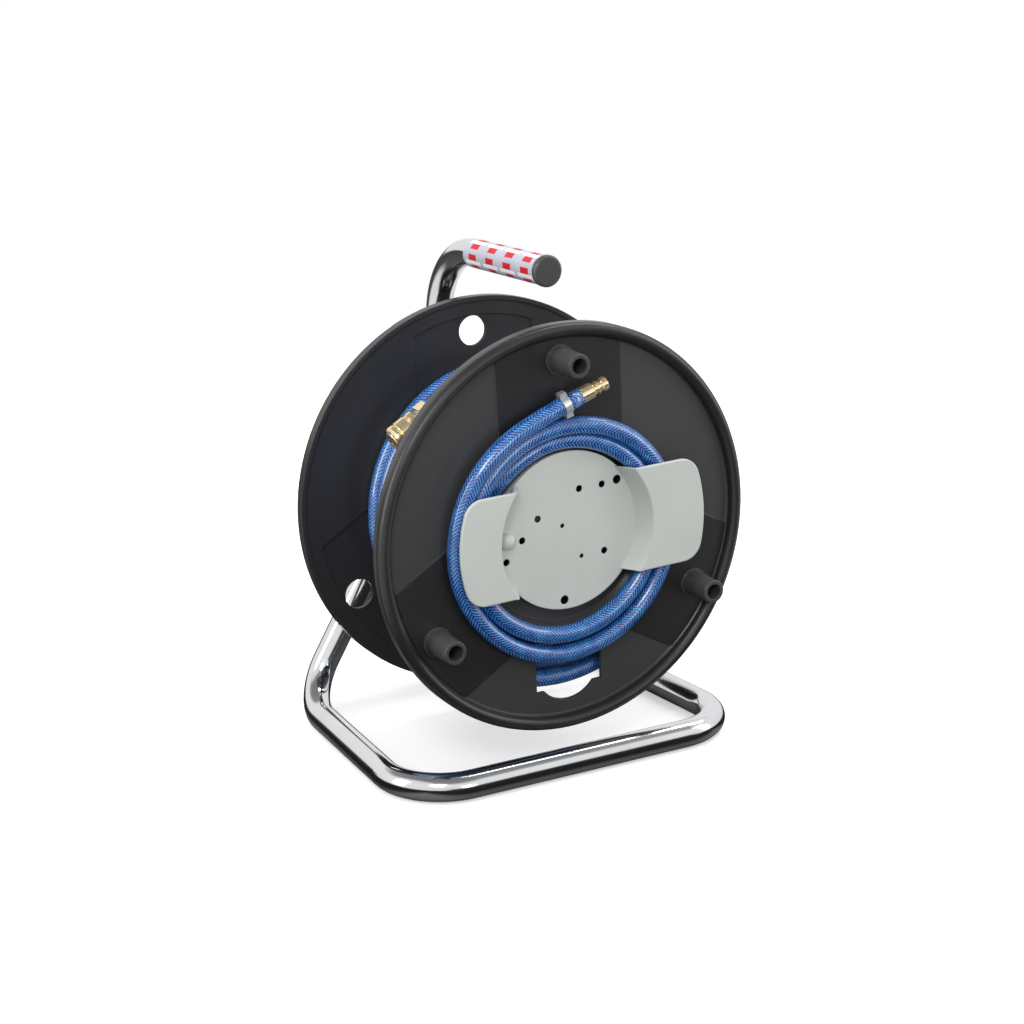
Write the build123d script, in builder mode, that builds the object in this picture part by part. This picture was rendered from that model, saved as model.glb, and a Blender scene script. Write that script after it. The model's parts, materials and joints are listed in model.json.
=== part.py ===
"""Hand-carried air hose reel: a plastic drum turning on an axle in a bent-tube stand.

Units are millimetres. +Z is up and the floor is Z = 0. The drum turns about an axis along Y,
its open side faces -Y, and the origin lies on the floor at the middle of the stand. Depths are
measured along +Y from the widest circle of the drum's front rim.
"""

import math
import os

from build123d import *

os.makedirs("parts", exist_ok=True)

# ---------------------------------------------------------------- driving dimensions
running_gap = 0.05  # radial clearance of a shaft in its bush
seat_gap = 0.15  # between fixed pieces that lie on each other
side_gap = 0.3  # between pieces that move past each other

# layout
rim_r = 145.0
drum_width = 130.0
drum_phase = 2.0  # how far the drum stands turned at rest, degrees
floor_room = 28.0  # drum above the floor
hand_room = 30.0  # grip centreline above the drum
front_room = 17.5  # front bar centreline ahead of the drum
rear_room = 55.5  # rear tubes' plane behind the drum

# stand tube
tube_d = 20.0
tube_wall = 1.5
front_width = 268.0
apex_rise = 40.85  # point where the legs would meet, above the drum's axis
front_bend = 44.0
rear_bend = 38.0
leg_angle = 59.1  # legs from the floor, in the rear plane
apex_bend = 60.0
grip_bend = 58.0
grip_rise = 1.5
grip_overhang = 26.0  # grip tube's end behind the front rim
leg_end_x = 17.5  # where the right leg stops beside the upright

# grip
sleeve_wall = 0.4
sleeve_length = 99.0
sleeve_setback = 0.6
cap_rim = 1.0  # how far the cap stands out past the tube
cap_thickness = 4.0
cap_round = 1.8
plug_depth = 15.0
plug_wall = 2.0

# axle bracket
saddle_depth = 6.0  # how far the bracket reaches round the tubes
bracket_edge = 14.0  # bolt centre to bracket edge
bracket_round = 3.0
low_bolt_drop = 33.0  # leg bolts below the drum's axis
top_bolt_rise = 18.2  # upright's bolt above the point where the legs would meet
snout_base_d = 66.0
snout_d = 40.0
snout_length = 16.0
snout_room = 16.0  # snout's face behind the drum
bolt_d = 6.0
bolt_head_d = 13.0
bolt_head = 3.85
bolt_head_round = 1.6
nut_af = 10.0
nut_height = 5.0
nut_sink = 0.5

# axle
axle_d = 16.0
axle_head_rim = 1.5
axle_head = 5.0
thread_step = 2.0
thread_stub = 3.0  # thread past the nut
axle_nut_rim = 3.0
axle_nut = 8.0
washer_rim = 8.0
washer_t = 1.5
thrust_washer_inset = 4.0

# drum
rim_band = 10.5
rim_crest = 4.5
rim_skirt = 7.0
rim_skirt_t = 3.0
web_depth = 3.0  # web's outer face
web_t = 3.0
panel_raise = 1.0
panel_width = 97.0
core_r = 60.0
core_wall = 3.0
spigot_length = 8.0
spigot_wall = 2.4
dish_floor_width = 6.5
dish_slope = 3.5
dish_depth = 4.0
peg_turns = (90, 210, 330)
peg_inset = 25.0  # peg circle inside the rim
peg_length = 27.0
peg_base_d = 19.0
peg_tip_d = 16.4
peg_bore_d = 11.0
peg_floor = 3.0
peg_bead = 1.2
peg_edge = 0.7
hole_d = 22.0
window_width = 53.0
window_shift = -1.5
window_height = 40.0
window_inset = 29.0  # window's lower edge inside the rim
notch_width = 40.0
notch_depth = 9.5
slot_start = 110.0  # hose slot beside the core, degrees
slot_end = 196.0
slot_room = 0.6
hub_front_depth = 30.0
hub_rear_inset = 18.0
hub_wall = 4.0
boss_wall = 5.0
bush_wall = 2.0
bush_flange = 2.0
bush_flange_rim = 3.5
bush_length = 16.0
tie_inset = 25.0  # tie bolts inside the core
tie_angles = (28.6, 148.6, 268.6)
tie_d = 5.0
tie_head_d = 9.5
tie_head = 3.5
tie_nut_af = 8.0
tie_nut = 4.0
tie_stub = 2.0

# hose holder (grey insert)
disc_room = 0.5  # disc inside the core
disc_front = -1.5  # depth of its face
disc_t = 2.5
skirt_t = 2.0
skirt_depth = 12.0
wing_depth = -16.0  # front of the wing plates
wing_t = 2.5
right_wing_inset = 42.0  # wings inside the rim
left_wing_inset = 53.5
wing_top = 39.0  # wings' edges above and below the axis
wing_bottom = 36.0
wing_corner = 15.0
wing_edge = 0.8
wall_flare = 4.0  # how far the curved walls lean outward
well_angles = (36.0, 264.0)
well_inset = 6.5
well_d = 6.5
well_wall = 2.0
well_floor = 2.0
well_depth = 22.0
screw_d = 3.4
screw_head_d = 5.8
screw_head = 2.4
screw_length = 12.0
screw_bite = 0.02
vent_d = 5.0
vent_spots = [(9.8, 28.2), (28.1, 28.2), (-23.9, 12.6), (-36.7, -0.5), (-49.7, -13.5), (28.3, -20.1)]
pip_d = 3.2
pip_spots = [(-4.7, 4.1), (9.8, -20.4)]
dome_r = 6.0
dome_inset = 7.9
dome_angle = 178.0

# hose
hose_d = 12.3
hose_bore_d = 6.3
layer_pitch = 10.65
feed_ring_room = 2.5  # feed coil's inner edge outside the core
feed_ring_shift = (-3.4, -6.7)
feed_ring_radii = (92.4, 88.0)
feed_ring_round = 3.5
slot_run_angle = 34.0  # how much of the slot the hose takes up
barb_length = 14.0
barb_tip = 1.5
barb_taper = 0.6

# plug nipple
nipple_body = (5.6, 9.2)  # radius and where it ends along the axis
nipple_neck_r = 4.0
nipple_ridge = (5.1, 12.4, 13.4)
nipple_tip = (5.0, 16.8, 20.4)
nipple_length = 21.0
nipple_bore_d = 4.4

# hose clamps
band_t = 0.8
band_width = 5.2
ear_height = 3.0
ear_width = 5.4
feed_clamp_back = 12.5  # behind the hose's end
coupler_clamp_back = 8.0

# quick coupler, on a line that touches the winding where the hose leaves it
coupler_angle = 119.7
coupler_side_room = 17.1  # coupler's axis past the fifth layer
coupler_offset = 29.5  # from the touching point to the coupler's own zero
coupler_mouth = 26.0
barrel_r = 8.0
spring_seat_r = 6.9
hex_af = 17.0
hex_length = 8.0
air_bore_r = 2.1
sleeve_r = 10.0
sleeve_travel = 4.0
sleeve_pocket = 0.9
sleeve_groove = 0.6
sleeve_spring_length = 5.0
sleeve_spring_wire = 0.9
socket_r = 5.1
socket_length = 12.0
seal_d = 1.6
seal_back = 1.8
seal_room = 0.05
valve_travel = 3.0
valve_r = 3.9
valve_head = 3.0
valve_lip = 1.8
valve_seat_r = 3.4
valve_room = 12.0
valve_side_room = 0.3
valve_spring_wire = 0.7
valve_spring_r = 3.3
ring_t = 0.8
ball_r = 1.2
ball_count = 6
ball_back = 5.0  # ball centres behind the mouth
ball_room = 0.08

# ---------------------------------------------------------------- sizes that follow
tube_r = tube_d / 2
cap_r = tube_r + cap_rim
hose_r = hose_d / 2
barb_r = hose_bore_d / 2
axis_height = rim_r + floor_room
grip_height = axis_height + rim_r + hand_room
total_depth = tube_d + front_room + drum_width + rear_room + seat_gap + bolt_head
front_y = tube_r - total_depth / 2
drum_front_y = front_y + front_room
rear_y = drum_front_y + drum_width + rear_room
snout_face_y = drum_front_y + drum_width + snout_room
bracket_front_y = snout_face_y + snout_length
bracket_back_y = rear_y - tube_r + saddle_depth
head_pocket_y = bracket_back_y - axle_head - nut_sink

leg_slope = math.tan(math.radians(leg_angle))
apex_height = axis_height + apex_rise
rear_width = 2 * (apex_height - tube_r) / leg_slope
bolt_x = (apex_rise + low_bolt_drop) / leg_slope
bolt_spots = [
    (0, apex_rise + top_bolt_rise),
    (-bolt_x, -low_bolt_drop),
    (bolt_x, -low_bolt_drop),
]

web_back = web_depth + web_t
mid_depth = drum_width / 2
rim_inner_r = rim_r - rim_band
core_bore_r = core_r - core_wall
dish_floor_r = core_r + dish_floor_width
dish_r = dish_floor_r + dish_slope
dish_floor = web_depth + dish_depth
dish_back = dish_floor + web_t
peg_circle = rim_r - peg_inset
slot_outer_r = core_r + hose_d + slot_room
slot_mid = (slot_start + slot_end) / 2
notch_r = (notch_width**2 / 4 + notch_depth**2) / (2 * notch_depth)
window_bottom = rim_r - window_inset

bush_d = axle_d + 2 * bush_wall
bush_flange_d = bush_d + 2 * bush_flange_rim
boss_d = bush_d + 2 * boss_wall
hub_rear_depth = drum_width - hub_rear_inset
rear_boss_depth = drum_width + snout_room - washer_t - side_gap - bush_flange
front_bush_face = hub_front_depth - bush_flange
shoulder_depth = front_bush_face - side_gap
shoulder_y = drum_front_y + shoulder_depth
thread_d = axle_d - 2 * thread_step
tie_back = hub_rear_depth + hub_wall
tie_circle = core_r - tie_inset
tie_spots = [
    (tie_circle * math.cos(math.radians(a)), tie_circle * math.sin(math.radians(a)))
    for a in tie_angles
]

disc_r = core_bore_r - disc_room
wall_r = disc_r + wall_flare
right_wing_r = rim_r - right_wing_inset
left_wing_r = rim_r - left_wing_inset
well_circle = disc_r - well_inset
well_bottom = disc_front + well_depth
well_spots = [
    (well_circle * math.cos(math.radians(a)), well_circle * math.sin(math.radians(a)))
    for a in well_angles
]

winding_front = dish_back + side_gap
winding_back = drum_width - web_back - 1.0
third_r = core_r + side_gap + 2 * layer_pitch + hose_d
fourth_r = third_r + layer_pitch
fifth_r = fourth_r + layer_pitch
fourth_end = winding_back - hose_d
fifth_end = winding_front + 2 * hose_d + 1.0
feed_plane = web_depth - panel_raise - seat_gap - 0.2 - hose_r
feed_inner_r = core_r + feed_ring_room
coupler_r = fourth_r + hose_r + 0.5
coupler_depth = fifth_end + coupler_side_room
lead_r = (fourth_r + hose_r + 0.4) / math.cos(math.radians(14))
lead_depth = fifth_end + hose_r + side_gap


# ---------------------------------------------------------------- planes and helpers
def drum_plane(depth, turned=0.0):
    """Plane across the drum at a depth, seen from the front and turned about its axis."""
    angle = math.radians(drum_phase + turned)
    return Plane(
        origin=(0, drum_front_y + depth, axis_height),
        x_dir=(math.cos(angle), 0, math.sin(angle)),
        z_dir=(0, -1, 0),
    )


def stand_plane(y):
    """Plane across the stand at y, seen from the front, with its origin on the drum's axis."""
    return Plane(origin=(0, y, axis_height), x_dir=(1, 0, 0), z_dir=(0, -1, 0))


profile_plane = Plane(origin=(0, drum_front_y, axis_height), x_dir=(1, 0, 0), z_dir=(0, 0, 1))
drum_axis = Axis((0, drum_front_y, axis_height), (0, 1, 0))


def on_drum(radius, degrees, depth):
    """A point given by radius, angle from the right and depth."""
    angle = math.radians(degrees + drum_phase)
    return Vector(
        radius * math.cos(angle),
        drum_front_y + depth,
        axis_height + radius * math.sin(angle),
    )


def ring_sector(plane, inner_r, outer_r, spread):
    """Part of a ring, spread evenly to both sides of a plane's x direction."""
    far = 2 * outer_r
    side = math.radians(spread / 2)
    with BuildSketch(plane) as sector:
        Circle(outer_r)
        Circle(inner_r, mode=Mode.SUBTRACT)
        Polygon(
            (0, 0),
            (far * math.cos(side), -far * math.sin(side)),
            (far * math.cos(side), far * math.sin(side)),
            align=None,
            mode=Mode.INTERSECT,
        )
    return sector.sketch


def write(part, label):
    """Label a finished piece and write its STEP file."""
    part.label = label
    export_step(part, f"parts/{label}.step")


def turned_piece(plane, outline, bore=0.0):
    """A turned piece: an outline of (radius, place along the axis) round a plane's normal."""
    side = Plane(origin=plane.origin, x_dir=plane.x_dir, z_dir=-plane.y_dir)
    reach = max(place for radius, place in outline) + 1
    with BuildPart() as piece:
        with BuildSketch(side):
            Polygon(*outline, align=None)
        revolve(axis=Axis(plane.origin, plane.z_dir))
        if bore:
            with BuildSketch(plane.offset(reach)):
                Circle(bore)
            extrude(amount=-2 * reach - barb_length, mode=Mode.SUBTRACT)
    return piece.part


# ---------------------------------------------------------------- stand tube
tube_route = [
    Vector(0, drum_front_y + grip_overhang, grip_height + grip_rise),
    Vector(0, rear_y, grip_height),
    Vector(0, rear_y, apex_height),
    Vector(-rear_width / 2, rear_y, tube_r),
    Vector(-front_width / 2, front_y, tube_r),
    Vector(front_width / 2, front_y, tube_r),
    Vector(rear_width / 2, rear_y, tube_r),
    Vector(leg_end_x, rear_y, apex_height - leg_end_x * leg_slope),
]
tube_bends = [grip_bend, apex_bend, rear_bend, front_bend, front_bend, rear_bend]

with BuildPart() as frame_tube:
    with BuildLine() as tube_line:
        FilletPolyline(*tube_route, radius=tube_bends)
    tube_wire = tube_line.wire()
    with BuildSketch(Plane(origin=tube_wire @ 0, z_dir=tube_wire % 0)):
        Circle(tube_r)
        Circle(tube_r - tube_wall, mode=Mode.SUBTRACT)
    sweep()
    with BuildSketch(stand_plane(rear_y - tube_d)):
        with Locations(*bolt_spots):
            Circle(bolt_d / 2 + seat_gap)
    extrude(amount=-2 * tube_d, mode=Mode.SUBTRACT)
write(frame_tube.part, "frame_tube")

# ---------------------------------------------------------------- grip and tube ends
grip_direction = (tube_route[1] - tube_route[0]).normalized()
grip_plane = Plane(origin=tube_route[0], x_dir=(1, 0, 0), z_dir=grip_direction)
leg_direction = (tube_route[-2] - tube_route[-1]).normalized()
leg_end_plane = Plane(origin=tube_route[-1], x_dir=(0, 1, 0), z_dir=leg_direction)

with BuildPart() as grip_sleeve:
    with BuildSketch(grip_plane.offset(sleeve_setback)):
        Circle(tube_r + running_gap + sleeve_wall)
        Circle(tube_r + running_gap, mode=Mode.SUBTRACT)
    extrude(amount=sleeve_length)
write(grip_sleeve.part, "grip_sleeve")


def tube_plug(plane, label):
    """A plastic plug with a domed cap; the plane is the tube's end and points into the tube."""
    seat = plane.offset(-running_gap)
    stem_r = tube_r - tube_wall - running_gap
    with BuildPart() as plug:
        with BuildSketch(seat):
            Circle(cap_r)
        extrude(amount=-cap_thickness)
        outer = plug.faces().sort_by(Axis(plane.origin, plane.z_dir))[0]
        fillet(outer.edges(), radius=cap_round)
        with BuildSketch(seat):
            Circle(stem_r)
            Circle(stem_r - plug_wall, mode=Mode.SUBTRACT)
        extrude(amount=plug_depth)
    write(plug.part, label)


tube_plug(grip_plane, "grip_cap")
tube_plug(leg_end_plane, "leg_end_plug")

# ---------------------------------------------------------------- axle bracket
with BuildPart() as axle_bracket:
    with BuildSketch(stand_plane(bracket_back_y)):
        with BuildLine():
            Polyline(*bolt_spots, close=True)
        make_face()
        offset(amount=bracket_edge, kind=Kind.ARC)
    extrude(amount=bracket_back_y - bracket_front_y)
    fillet(axle_bracket.faces().sort_by(Axis.Y)[0].edges(), radius=bracket_round)
    with BuildSketch(stand_plane(bracket_front_y)):
        Circle(snout_base_d / 2)
    with BuildSketch(stand_plane(snout_face_y)):
        Circle(snout_d / 2)
    loft()
    with BuildLine() as saddle_line:
        FilletPolyline(*tube_route[1:4], radius=apex_bend)
    saddle_wire = saddle_line.wire()
    with BuildSketch(Plane(origin=saddle_wire @ 0, z_dir=saddle_wire % 0)):
        Circle(tube_r + seat_gap)
    sweep(mode=Mode.SUBTRACT)
    with BuildSketch(leg_end_plane):
        Circle(tube_r + seat_gap)
    extrude(amount=apex_height, mode=Mode.SUBTRACT)
    with BuildSketch(leg_end_plane):
        Circle(cap_r + seat_gap)
    extrude(amount=-cap_thickness - 2 * seat_gap, mode=Mode.SUBTRACT)
    with BuildSketch(stand_plane(bracket_back_y)):
        Circle(axle_d / 2 + axle_head_rim + seat_gap)
    extrude(amount=bracket_back_y - head_pocket_y, mode=Mode.SUBTRACT)
    with BuildSketch(stand_plane(bracket_back_y)):
        Circle(axle_d / 2 + running_gap)
    extrude(amount=bracket_back_y - snout_face_y, mode=Mode.SUBTRACT)
    with BuildSketch(stand_plane(bracket_back_y)):
        with Locations(*bolt_spots):
            Circle(bolt_d / 2 + seat_gap)
    extrude(amount=bracket_back_y - bracket_front_y, mode=Mode.SUBTRACT)
    with BuildSketch(stand_plane(bracket_front_y + nut_height + seat_gap)):
        with Locations(*bolt_spots):
            RegularPolygon(nut_af / 2 + seat_gap, 6, major_radius=False)
    extrude(amount=nut_height + seat_gap, mode=Mode.SUBTRACT)
write(axle_bracket.part, "axle_bracket")

bolt_seat_y = rear_y + tube_r + seat_gap
with BuildPart() as bracket_bolts:
    with BuildSketch(stand_plane(bolt_seat_y)):
        with Locations(*bolt_spots):
            Circle(bolt_head_d / 2)
    extrude(amount=-bolt_head)
    fillet(bracket_bolts.faces().group_by(Axis.Y)[-1].edges(), radius=bolt_head_round)
    with BuildSketch(stand_plane(bolt_seat_y)):
        with Locations(*bolt_spots):
            Circle(bolt_d / 2)
    extrude(amount=bolt_seat_y - bracket_front_y - nut_sink)
write(bracket_bolts.part, "bracket_bolts")

with BuildPart() as bracket_nuts:
    with BuildSketch(stand_plane(bracket_front_y + nut_height)):
        with Locations(*bolt_spots):
            RegularPolygon(nut_af / 2, 6, major_radius=False)
        with Locations(*bolt_spots):
            Circle(bolt_d / 2 + running_gap, mode=Mode.SUBTRACT)
    extrude(amount=nut_height - seat_gap)
write(bracket_nuts.part, "bracket_nuts")

# ---------------------------------------------------------------- axle and what holds it
head_front_y = head_pocket_y + seat_gap
thread_length = washer_t + axle_nut + thread_stub

with BuildPart() as axle:
    with BuildSketch(stand_plane(head_front_y)):
        RegularPolygon(axle_d / 2 + axle_head_rim, 6)
    extrude(amount=seat_gap - axle_head)
    with BuildSketch(stand_plane(head_front_y)):
        Circle(axle_d / 2)
    extrude(amount=head_front_y - shoulder_y)
    with BuildSketch(stand_plane(shoulder_y)):
        Circle(thread_d / 2)
    extrude(amount=thread_length)
    chamfer(axle.faces().sort_by(Axis.Y)[0].edges(), length=1)
write(axle.part, "axle")

with BuildPart() as axle_washer:
    with BuildSketch(stand_plane(shoulder_y)):
        Circle(thread_d / 2 + washer_rim)
        Circle(thread_d / 2 + running_gap, mode=Mode.SUBTRACT)
    extrude(amount=washer_t)
write(axle_washer.part, "axle_washer")

with BuildPart() as axle_lock_nut:
    with BuildSketch(stand_plane(shoulder_y - washer_t)):
        RegularPolygon(thread_d / 2 + axle_nut_rim, 6, major_radius=False)
        Circle(thread_d / 2 + running_gap, mode=Mode.SUBTRACT)
    extrude(amount=axle_nut)
write(axle_lock_nut.part, "axle_lock_nut")

with BuildPart() as thrust_washer:
    with BuildSketch(stand_plane(snout_face_y)):
        Circle(snout_d / 2 - thrust_washer_inset)
        Circle(axle_d / 2 + running_gap, mode=Mode.SUBTRACT)
    extrude(amount=washer_t)
write(thrust_washer.part, "thrust_washer")


# ---------------------------------------------------------------- drum halves
def flange_section(start, side, inner_r):
    """Half section of a web and its rolled rim, in radius and depth, towards one side."""

    def at(radius, depth):
        return (radius, start + side * depth)

    with BuildSketch(profile_plane) as section:
        with BuildLine():
            Polyline(
                at(inner_r, web_back),
                at(inner_r, web_depth),
                at(rim_inner_r, web_depth),
                at(rim_inner_r + web_t / 2, web_depth / 2),
            )
            ThreePointArc(
                at(rim_inner_r + web_t / 2, web_depth / 2),
                at(rim_r - rim_band * 0.44, -rim_crest),
                at(rim_r, 0),
            )
            Polyline(
                at(rim_r, 0),
                at(rim_r, rim_skirt),
                at(rim_r - rim_skirt_t, rim_skirt),
                at(rim_r - rim_skirt_t - web_t / 2, web_back),
                at(inner_r, web_back),
            )
        make_face()
    return section.sketch


def pressed_panels(outer_depth, inner_depth, outward):
    """Three parallel-sided panels, one at each peg, pressed outward from the web."""
    for turn in peg_turns:
        for depth, reach, mode in (
            (outer_depth, rim_inner_r, Mode.ADD),
            (inner_depth, rim_inner_r - web_t, Mode.SUBTRACT),
        ):
            with BuildSketch(drum_plane(depth, turn)) as panel:
                with Locations((reach / 2, 0)):
                    Rectangle(reach, panel_width)
                Circle(reach, mode=Mode.INTERSECT)
                Circle(dish_r, mode=Mode.SUBTRACT)
            extrude(panel.sketch, amount=outward, mode=mode)


with BuildPart() as drum_front:
    revolve(flange_section(0, 1, dish_r), axis=drum_axis)
    with BuildSketch(profile_plane):
        Polygon(
            (dish_r, web_depth),
            (dish_r, web_back),
            (dish_floor_r, dish_back),
            (core_r, dish_back),
            (core_r, mid_depth),
            (core_bore_r, mid_depth),
            (core_bore_r, dish_floor),
            (dish_floor_r, dish_floor),
            align=None,
        )
    revolve(axis=drum_axis)
    pressed_panels(web_depth, web_back, panel_raise)
    with BuildSketch(drum_plane(hub_front_depth)):
        Circle(core_bore_r + core_wall / 2)
    extrude(amount=-hub_wall)
    with BuildSketch(drum_plane(hub_front_depth)):
        Circle(boss_d / 2)
    extrude(amount=-bush_length)
    with BuildSketch(drum_plane(mid_depth + spigot_length)):
        Circle(core_bore_r - running_gap)
        Circle(core_bore_r - spigot_wall, mode=Mode.SUBTRACT)
    extrude(amount=spigot_length)
    with BuildSketch(drum_plane(mid_depth)):
        Circle(core_bore_r + core_wall / 2)
        Circle(core_bore_r - spigot_wall, mode=Mode.SUBTRACT)
    extrude(amount=core_wall)
    with BuildSketch(drum_plane(hub_front_depth)):
        with Locations(*well_spots):
            Circle(well_d / 2 + well_wall)
    extrude(amount=hub_front_depth - well_bottom - seat_gap)
    with BuildSketch(drum_plane(hub_front_depth - 1)):
        Circle(bush_d / 2)
        with Locations(*tie_spots):
            Circle(tie_d / 2 + seat_gap)
    extrude(amount=-bush_length - 2, mode=Mode.SUBTRACT)
    with BuildSketch(drum_plane(well_bottom)):
        with Locations(*well_spots):
            Circle(screw_d / 2 + screw_bite)
    extrude(amount=well_bottom - hub_front_depth - hub_wall - 1, mode=Mode.SUBTRACT)
    with BuildSketch(drum_plane(web_back + 1)):
        with PolarLocations(peg_circle, len(peg_turns), start_angle=peg_turns[0]):
            Circle(peg_bore_d / 2)
        with Locations((window_shift, window_height / 2 - window_bottom)):
            Rectangle(window_width, window_height)
        with Locations((window_shift, notch_r - notch_depth - window_bottom)):
            Circle(notch_r)
    extrude(amount=web_back + 3, mode=Mode.SUBTRACT)
    slot = ring_sector(drum_plane(dish_back + 1, slot_mid), core_r, slot_outer_r, slot_end - slot_start)
    extrude(slot, amount=dish_back + 2, mode=Mode.SUBTRACT)
write(drum_front.part, "drum_front")

with BuildPart() as drum_rear:
    revolve(flange_section(drum_width, -1, core_r), axis=drum_axis)
    with BuildSketch(profile_plane):
        Polygon(
            (core_r, drum_width - web_depth),
            (core_r, mid_depth + seat_gap),
            (core_bore_r, mid_depth + seat_gap),
            (core_bore_r, drum_width - web_depth),
            align=None,
        )
    revolve(axis=drum_axis)
    pressed_panels(drum_width - web_depth, drum_width - web_back, -panel_raise)
    with BuildSketch(drum_plane(hub_rear_depth)):
        Circle(core_bore_r + core_wall / 2)
    extrude(amount=-hub_wall)
    with BuildSketch(drum_plane(hub_rear_depth)):
        Circle(boss_d / 2)
    extrude(amount=hub_rear_depth - rear_boss_depth)
    with BuildSketch(drum_plane(hub_rear_depth - 1)):
        Circle(bush_d / 2)
        with Locations(*tie_spots):
            Circle(tie_d / 2 + seat_gap)
    extrude(amount=hub_rear_depth - rear_boss_depth - 2, mode=Mode.SUBTRACT)
    with BuildSketch(drum_plane(drum_width - web_back - 1)):
        with PolarLocations(peg_circle, len(peg_turns), start_angle=peg_turns[0]):
            Circle(hole_d / 2)
    extrude(amount=-web_back - 3, mode=Mode.SUBTRACT)
write(drum_rear.part, "drum_rear")

# Hollow winding pegs: each has a stub in the front flange and a bead round its base.
peg_seat = web_depth - panel_raise - running_gap
with BuildPart() as winding_pegs:
    for turn in peg_turns:
        with BuildSketch(drum_plane(peg_seat, turn)):
            with Locations((peg_circle, 0)):
                Circle(peg_base_d / 2)
        with BuildSketch(drum_plane(peg_seat - peg_length, turn)):
            with Locations((peg_circle, 0)):
                Circle(peg_tip_d / 2)
        loft()
    fillet(winding_pegs.faces().group_by(Axis.Y)[0].edges(), radius=peg_edge)
    with BuildSketch(drum_plane(peg_seat)):
        with PolarLocations(peg_circle, len(peg_turns), start_angle=peg_turns[0]):
            Circle(peg_base_d / 2 + peg_bead)
    extrude(amount=peg_bead)
    with BuildSketch(drum_plane(peg_seat)):
        with PolarLocations(peg_circle, len(peg_turns), start_angle=peg_turns[0]):
            Circle(peg_bore_d / 2 - running_gap)
    extrude(amount=-web_t)
    with BuildSketch(drum_plane(peg_seat - peg_floor)):
        with PolarLocations(peg_circle, len(peg_turns), start_angle=peg_turns[0]):
            Circle(peg_bore_d / 2)
    extrude(amount=peg_length, mode=Mode.SUBTRACT)
write(winding_pegs.part, "winding_pegs")


def bush(flange_depth, inward, label):
    """A flanged plain bearing; the flange's outer face lies at a depth and points away."""
    with BuildPart() as piece:
        with BuildSketch(drum_plane(flange_depth)):
            Circle(bush_flange_d / 2)
        extrude(amount=inward * bush_flange)
        with BuildSketch(drum_plane(flange_depth)):
            Circle(bush_d / 2 - running_gap)
        extrude(amount=inward * (bush_length - 1))
        with BuildSketch(drum_plane(flange_depth)):
            Circle(axle_d / 2 + running_gap)
        extrude(amount=inward * bush_length, mode=Mode.SUBTRACT)
    write(piece.part, label)


bush(front_bush_face, -1, "front_bush")
bush(rear_boss_depth + bush_flange, 1, "rear_bush")

with BuildPart() as core_tie_bolts:
    with BuildSketch(drum_plane(hub_front_depth)):
        with Locations(*tie_spots):
            Circle(tie_head_d / 2)
    extrude(amount=tie_head)
    with BuildSketch(drum_plane(hub_front_depth)):
        with Locations(*tie_spots):
            Circle(tie_d / 2)
    extrude(amount=hub_front_depth - tie_back - tie_nut - tie_stub)
write(core_tie_bolts.part, "core_tie_bolts")

with BuildPart() as core_tie_nuts:
    with BuildSketch(drum_plane(tie_back)):
        with Locations(*tie_spots):
            RegularPolygon(tie_nut_af / 2, 6, major_radius=False)
        with Locations(*tie_spots):
            Circle(tie_d / 2 + running_gap, mode=Mode.SUBTRACT)
    extrude(amount=-tie_nut)
write(core_tie_nuts.part, "core_tie_nuts")

# ---------------------------------------------------------------- hose holder
def wing_plate(plane, reach, left_side, right_side):
    """Flat plate of one wing, along a plane's x direction and outside the curved wall."""
    with BuildPart() as plate:
        with BuildSketch(plane) as outline:
            Circle(reach)
            with Locations((reach / 2, (left_side - right_side) / 2)):
                Rectangle(reach, left_side + right_side, mode=Mode.INTERSECT)
            fillet(outline.vertices(), radius=wing_corner)
        extrude(amount=-wing_t)
        fillet(plate.faces().sort_by(Axis.Y)[0].edges(), radius=wing_edge)
        with BuildSketch(plane):
            Circle(wall_r)
        extrude(amount=-wing_t, mode=Mode.SUBTRACT)
    return plate.part


wall_foot = disc_front + disc_t / 2
with BuildPart() as wing_walls:
    with BuildSketch(profile_plane):
        Polygon(
            (disc_r - wing_t, wall_foot),
            (wall_r, wing_depth),
            (wall_r + wing_t, wing_depth),
            (disc_r, wall_foot),
            align=None,
        )
    revolve(axis=drum_axis)
    with BuildSketch(drum_plane(wing_depth - 1)):
        with Locations((0, (wing_top - wing_bottom) / 2)):
            Rectangle(4 * disc_r, wing_top + wing_bottom)
    extrude(amount=wing_depth - 2, mode=Mode.INTERSECT)

with BuildPart() as hose_holder:
    with BuildSketch(drum_plane(disc_front)):
        Circle(disc_r)
    extrude(amount=-disc_t)
    with BuildSketch(drum_plane(disc_front)):
        Circle(disc_r)
        Circle(disc_r - skirt_t, mode=Mode.SUBTRACT)
    extrude(amount=disc_front - skirt_depth)
    with BuildSketch(drum_plane(disc_front)):
        with Locations(*well_spots):
            Circle(well_d / 2 + well_wall)
        Circle(disc_r - skirt_t / 2, mode=Mode.INTERSECT)
    extrude(amount=-well_depth)
    with BuildSketch(drum_plane(disc_front)):
        with Locations(*well_spots):
            Circle(well_d / 2)
    extrude(amount=well_floor - well_depth, mode=Mode.SUBTRACT)
    with BuildSketch(drum_plane(disc_front)):
        with Locations(*well_spots):
            Circle(screw_d / 2 + seat_gap)
    extrude(amount=-well_depth - 1, mode=Mode.SUBTRACT)
    add(wing_plate(drum_plane(wing_depth), right_wing_r, wing_top, wing_bottom))
    add(wing_plate(drum_plane(wing_depth, 180), left_wing_r, wing_bottom, wing_top))
    add(wing_walls.part)
    with Locations(on_drum(disc_r - dome_inset, dome_angle, disc_front)):
        Sphere(dome_r)
    with BuildSketch(drum_plane(disc_front)):
        with Locations(*vent_spots):
            Circle(vent_d / 2)
        with Locations(*pip_spots):
            Circle(pip_d / 2)
    extrude(amount=-disc_t - 1, mode=Mode.SUBTRACT)
write(hose_holder.part, "hose_holder")

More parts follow.
